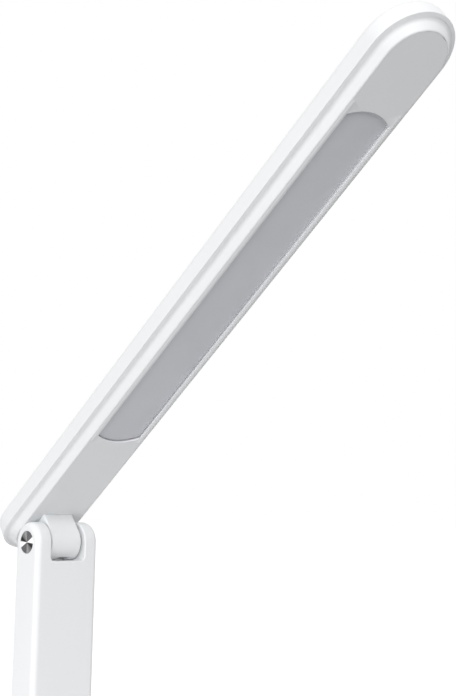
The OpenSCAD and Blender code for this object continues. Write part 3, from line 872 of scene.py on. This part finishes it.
# %% Touch key
def revolve(bm, section, axis_point, axis, steps=64):
    """Sweeps points (radius, height) round an axis and closes both ends."""
    turn = Vector((0, 0, 1)).rotation_difference(Vector(axis)).to_matrix()
    rings = []
    for radius, height in section:
        ring = []
        for k in range(steps):
            angle = 2 * math.pi * k / steps
            point = Vector((radius * math.cos(angle), radius * math.sin(angle), height))
            ring.append(bm.verts.new((turn @ point + Vector(axis_point)) * MM))
        rings.append(ring)
    join_all(bm, rings)
    bm.faces.new(rings[0])
    bm.faces.new(rings[-1])


key_rim = key_radius - 0.07
key_flange_radius = key_radius + 1.5
key_flange_depth = base_wall + 1.0
dish_radius = 7.2
dish_depth = 0.35

key_section = [(key_flange_radius, -key_flange_depth), (key_flange_radius, -base_wall)]
for inset, depth in reversed(opening_steps(turned_lip, base_wall, turned_share)):
    key_section.append((key_rim - inset, -depth))
for share in (0, 0.2, 0.4, 0.6, 0.8, 0.95):
    key_section.append((dish_radius * (1 - share), -dish_depth * (1 - (1 - share) ** 2)))
bm = bmesh.new()
revolve(bm, key_section, (0, key_y, base_top), (0, 0, 1))
make_piece("touch_plate", bm, white_plastic, "base", ["touch_key"])

# %% [markdown]
# ## Spun metal
# The caps over the hinge pins were faced on a lathe. The tool leaves fine rings, and
# rings make the light gather in wedges: bright and dark sectors that meet in the middle,
# like a bow tie. Anisotropic gloss alone gives only a weak hint of them under soft light.
# So the rings are a bump that depends only on the distance from the axis, and the wedges
# are painted highlight and painted reflection in the colour, drawn by the angle round it.

# %% Sums of sockets
def combined(tree, operation, first, second=0.0):
    """The result of two numbers, each of which is a socket or a plain value."""
    result = tree.nodes.new("ShaderNodeMath")
    result.operation = operation
    for socket, value in zip(result.inputs, (first, second)):
        if isinstance(value, float):
            socket.default_value = value
        else:
            tree.links.new(value, socket)
    return result.outputs["Value"]


# %% Finish of the turned caps
# Painted reflection: where each bright or dark wedge sits round a half turn, and its tone
PAINTED_REFLECTION_SECTORS = (
    (0.0, 0.90), (0.14, 0.95), (0.18, 0.10), (0.30, 0.13), (0.45, 0.10), (0.58, 0.32),
    (0.68, 0.20), (0.80, 0.12), (0.84, 0.02), (0.96, 0.02), (0.99, 0.85),
)
PAINTED_REFLECTION_BLUE = 1.02
STREAKS = 60.0
STREAK_STRENGTH = 0.05
RING_PITCH = 0.25
RING_DEPTH = 0.004


def painted_reflection_colour(tree, forward, above):
    """Painted highlight and reflection: bright and dark wedges by the angle round the axis, with
    slightly ruffled edges.
    """
    compute = functools.partial(combined, tree)
    angle = compute("ARCTAN2", above, forward)
    half_turns = compute("FRACT", compute("DIVIDE", angle, math.pi))
    streak_angle = tree.nodes.new("ShaderNodeCombineXYZ")
    tree.links.new(half_turns, streak_angle.inputs["X"])
    streaks = noise(tree, streak_angle.outputs["Vector"], STREAKS)
    ruffled = compute("MULTIPLY", compute("SUBTRACT", streaks, 0.5), STREAK_STRENGTH)
    ramp = tree.nodes.new("ShaderNodeValToRGB")
    while len(ramp.color_ramp.elements) < len(PAINTED_REFLECTION_SECTORS):
        ramp.color_ramp.elements.new(0.5)
    for element, (place, tone) in zip(ramp.color_ramp.elements, PAINTED_REFLECTION_SECTORS):
        element.position = place
        element.color = (tone, tone, tone * PAINTED_REFLECTION_BLUE, 1)
    tree.links.new(compute("ADD", half_turns, ruffled), ramp.inputs["Fac"])
    return ramp.outputs["Color"]


def spun_finish(name, axis_y, axis_z):
    """Turned metal about an axis along X: rings in the relief, painted reflection wedges in the
    colour.
    """
    material, tree, shader, coordinates = new_material(name)
    compute = functools.partial(combined, tree)
    shader.inputs["Metallic"].default_value = 1.0
    shader.inputs["Anisotropic"].default_value = 0.6
    split = tree.nodes.new("ShaderNodeSeparateXYZ")
    tree.links.new(coordinates, split.inputs["Vector"])
    forward = compute("SUBTRACT", axis_y * MM, split.outputs["Y"])
    above = compute("SUBTRACT", split.outputs["Z"], axis_z * MM)
    tree.links.new(painted_reflection_colour(tree, forward, above), shader.inputs["Base Color"])
    squares = compute("ADD", compute("POWER", forward, 2.0), compute("POWER", above, 2.0))
    distance = compute("SQRT", squares)
    rings = compute("SINE", compute("MULTIPLY", distance, 2 * math.pi / (RING_PITCH * MM)))
    tree.links.new(bump_from(tree, rings, RING_DEPTH), shader.inputs["Normal"])
    rough = noise(tree, coordinates, 900.0)
    tree.links.new(value_between(tree, rough, 0.28, 0.4), shader.inputs["Roughness"])
    return material


print("rings across a cap:", round(cap_recess_radius / RING_PITCH))

# %% Turned caps
cap_sunk = 0.1
cap_radius = 5.38
cap_section = [
    (cap_radius, -0.8), (cap_radius, -0.2), (5.32, -0.07), (5.2, 0.0), (4.9, 0.0),
    (4.75, -0.06), (3.5, -0.09), (2.0, -0.12), (0.8, -0.14), (0.2, -0.15),
]
for level, axis_z in (("upper", upper_axis_z), ("lower", lower_axis_z)):
    name = f"{level}_turned_caps"
    bm = bmesh.new()
    for side in (-1, 1):
        face_middle = (side * (stem_half - cap_sunk), hinge_y, axis_z)
        revolve(bm, cap_section, face_middle, (side, 0, 0))
    metal = spun_finish(name + "_metal", hinge_y, axis_z)
    make_piece(name, bm, metal, "stem", [f"{level}_caps"])

# %% [markdown]
# ## The diffuser
# The milky panel softens the light of the chips behind it. With the lamp off it looks
# grey, because the light that enters it is lost in the dark space behind. Letting light
# really pass through it would take longer to render and give the same grey. So its own
# colour is that grey, a very faint change of tone along the panel hints at the depth
# behind, and the surface is a fine satin.

# %% Finish of the diffuser
def diffuser_finish(name, dark, light, rough):
    """Grey that changes slowly along the panel, with a satin surface."""
    material, tree, shader, coordinates = new_material(name)
    stretched = tree.nodes.new("ShaderNodeMapping")
    stretched.inputs["Scale"].default_value = (1.0, 0.25, 1.0)
    tree.links.new(coordinates, stretched.inputs["Vector"])
    slow = noise(tree, stretched.outputs["Vector"], 60.0, 1.0)
    tree.links.new(colour_between(tree, slow, dark, light), shader.inputs["Base Color"])
    satin = noise(tree, coordinates, 120.0)
    tree.links.new(value_between(tree, satin, *rough), shader.inputs["Roughness"])
    fine = noise(tree, coordinates, 2000.0, 1.0)
    tree.links.new(bump_from(tree, fine, 0.003), shader.inputs["Normal"])
    return material


milky_diffuser = diffuser_finish(
    "milky_diffuser", dark=(0.615, 0.622, 0.66), light=(0.645, 0.652, 0.69), rough=(0.5, 0.6)
)
print("finish:", milky_diffuser.name)

# %% [markdown]
# ## Finishes of the parts inside
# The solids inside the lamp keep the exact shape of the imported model. They are hidden by
# the skins, but a part that is opened or posed still has to look right. One grey metal for
# all would be quicker, but each gets the finish of its real material: zinc on the screws,
# bare steel on the weight, copper and solder mask on the boards, silicone on the pad.

# %% Finishes by their names
finishes = {"shaded_underside_plastic": shaded_underside_plastic, "milky_diffuser": milky_diffuser}
# Name, darkest and lightest colour, roughness, grain, size of the mottling, metallic
for name, dark, light, rough, grain, mottle, metallic in (
    ("silicone_pad", (0.10, 0.10, 0.11), (0.14, 0.14, 0.15), (0.7, 0.8), (900, 0.02), 14, 0.0),
    ("zinc_steel", (0.50, 0.51, 0.53), (0.62, 0.63, 0.65), (0.3, 0.42), (1500, 0.003), 60, 1.0),
    ("raw_steel", (0.24, 0.24, 0.25), (0.34, 0.34, 0.35), (0.42, 0.6), (700, 0.01), 30, 1.0),
    ("cell_wrap", (0.05, 0.11, 0.26), (0.07, 0.14, 0.31), (0.3, 0.4), (500, 0.01), 14, 0.0),
    ("solder_mask", (0.015, 0.10, 0.05), (0.03, 0.15, 0.08), (0.35, 0.5), (1800, 0.01), 90, 0.0),
    ("contact_brass", (0.60, 0.40, 0.20), (0.72, 0.50, 0.27), (0.25, 0.4), (1200, 0.003), 60, 1.0),
    ("inlet_steel", (0.46, 0.46, 0.47), (0.58, 0.58, 0.59), (0.22, 0.34), (1600, 0.002), 80, 1.0),
    ("wire_jacket", (0.42, 0.03, 0.025), (0.52, 0.05, 0.04), (0.4, 0.5), (900, 0.004), 50, 0.0),
    ("pin_steel", (0.52, 0.52, 0.53), (0.60, 0.60, 0.61), (0.2, 0.3), (2000, 0.002), 70, 1.0),
    ("tray_white", (0.86, 0.86, 0.86), (0.90, 0.90, 0.90), (0.3, 0.4), (2400, 0.004), 14, 0.0),
    ("board_aluminium", (0.66, 0.67, 0.68), (0.75, 0.76, 0.77), (0.35, 0.5), (900, 0.004), 40, 1.0),
    ("chip_phosphor", (0.80, 0.62, 0.16), (0.88, 0.72, 0.25), (0.4, 0.5), (1500, 0.004), 300, 0.0),
):
    finishes[name] = noisy_finish(name, dark, light, rough, grain, mottle, metallic)
print("finishes inside:", len(finishes))

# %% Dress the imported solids
hinge_metal = [
    f"{level}_{part}"
    for level in ("lower", "upper") for part in ("pin", "washers", "spring_washers", "nut")
]
dressed = {
    # The base plate looks down, so it takes the darker white with its painted shade
    "shaded_underside_plastic": ["base_plate"],
    "silicone_pad": ["base_pad"],
    "zinc_steel": ["base_screws", "post_screws", "knuckle_screws"],
    "raw_steel": ["ballast_plate"],
    "cell_wrap": ["battery_cell"],
    "solder_mask": ["control_board", "socket_board"],
    "contact_brass": ["touch_spring"],
    "inlet_steel": ["charge_socket"],
    "wire_jacket": ["base_wires", "stem_wires", "head_wires"],
    "pin_steel": hinge_metal,
    "tray_white": ["reflector_tray"],
    "board_aluminium": ["led_board"],
    "chip_phosphor": ["led_chips"],
    "milky_diffuser": ["diffuser"],
}
bare = {node for node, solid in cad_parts.items() if not solid.hide_render}
for finish, nodes in dressed.items():
    for node in nodes:
        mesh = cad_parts[node].data
        mesh.materials.clear()
        mesh.materials.append(finishes[finish])
    bare -= set(nodes)
print("solids dressed:", sum(len(nodes) for nodes in dressed.values()), "bare:", sorted(bare))

# %% [markdown]
# ## Sky and floor
# The picture was taken on white. Enough light to burn the background out would burn the
# white plastic as well. Here a pale floor and a pale sky stand for the studio: seen
# directly they are white, while the light that they throw on the lamp stays at a plain
# level, so the plastic still has room for its greys. The table round the lamp throws
# light up on the head's underside, and the floor further out hardly does. The floor also
# glows a little for direct sight, but only away from the lamp, so that it keeps the
# lamp's shadow.

# %% Sky
SKY = 0.66


def seen_directly(tree):
    """1 for camera, mirror and glass rays, and 0 for the light that falls on things."""
    path = tree.nodes.new("ShaderNodeLightPath").outputs
    seen = combined(tree, "MAXIMUM", path["Is Camera Ray"], path["Is Glossy Ray"])
    return combined(tree, "MAXIMUM", seen, path["Is Transmission Ray"])


world = bpy.data.worlds.new("studio")
bpy.context.scene.world = world
world.use_nodes = True
sky = combined(world.node_tree, "MAXIMUM", seen_directly(world.node_tree), SKY)
world.node_tree.links.new(sky, world.node_tree.nodes["Background"].inputs["Color"])
print("light of the sky:", SKY)

# %% Floor
TABLE_BOUNCE = 0.92
FLOOR_BOUNCE = 0.03
TABLE_REACH = (0.25, 0.70)
FLOOR_GLOW = 0.50
GLOW_REACH = (0.12, 0.40)
FLOOR_HALF = 20

floor_material, tree, shader, coordinates = new_material("pale_floor")
from_lamp = tree.nodes.new("ShaderNodeVectorMath")
from_lamp.operation = "LENGTH"
tree.links.new(coordinates, from_lamp.inputs[0])
distance = from_lamp.outputs["Value"]
bounce = value_between(tree, distance, TABLE_BOUNCE, FLOOR_BOUNCE, *TABLE_REACH)
seen = seen_directly(tree)
tree.links.new(combined(tree, "MAXIMUM", seen, bounce), shader.inputs["Base Color"])
shader.inputs["Emission Color"].default_value = (1, 1, 1, 1)
glow = value_between(tree, distance, 0.0, FLOOR_GLOW, *GLOW_REACH)
tree.links.new(combined(tree, "MULTIPLY", seen, glow), shader.inputs["Emission Strength"])
shader.inputs["Roughness"].default_value = 1.0
shader.inputs["Specular IOR Level"].default_value = 0.0

bm = bmesh.new()
bmesh.ops.create_grid(bm, x_segments=1, y_segments=1, size=FLOOR_HALF)
floor_mesh = bpy.data.meshes.new("floor")
bm.to_mesh(floor_mesh)
bm.free()
floor_mesh.materials.append(floor_material)
floor = bpy.data.objects.new("floor", floor_mesh)
bpy.context.scene.collection.objects.link(floor)
print("floor:", 2 * FLOOR_HALF, "m wide")

# %% [markdown]
# ## Softboxes
# A white lamp under an even sky looks flat. In the studio large soft lamps model it. Small
# lights would do that too, but with hard shadows, so these are area lights, which are as
# large as a real softbox. One stands high in front, and two at the left, side on and at
# the corner.

# %% Softboxes round the lamp
LIT_POINT = Vector((0.0, 0.0, 0.42))
SOFTBOX_SIZE = 0.6


def add_softbox(name, place, power):
    """A square light that looks at the lamp from a place."""
    light = bpy.data.lights.new(name, "AREA")
    light.energy = power
    light.size = SOFTBOX_SIZE
    softbox = bpy.data.objects.new(name, light)
    softbox.location = place
    softbox.rotation_mode = "QUATERNION"
    softbox.rotation_quaternion = (Vector(place) - LIT_POINT).to_track_quat("Z", "Y")
    bpy.context.scene.collection.objects.link(softbox)
    print("softbox", name, power, "W")


add_softbox("key", (-0.25, -0.95, 0.85), 4.0)
add_softbox("left", (-1.05, 0.15, 0.42), 2.5)
add_softbox("corner", (-0.95, -0.40, 0.35), 3.4)
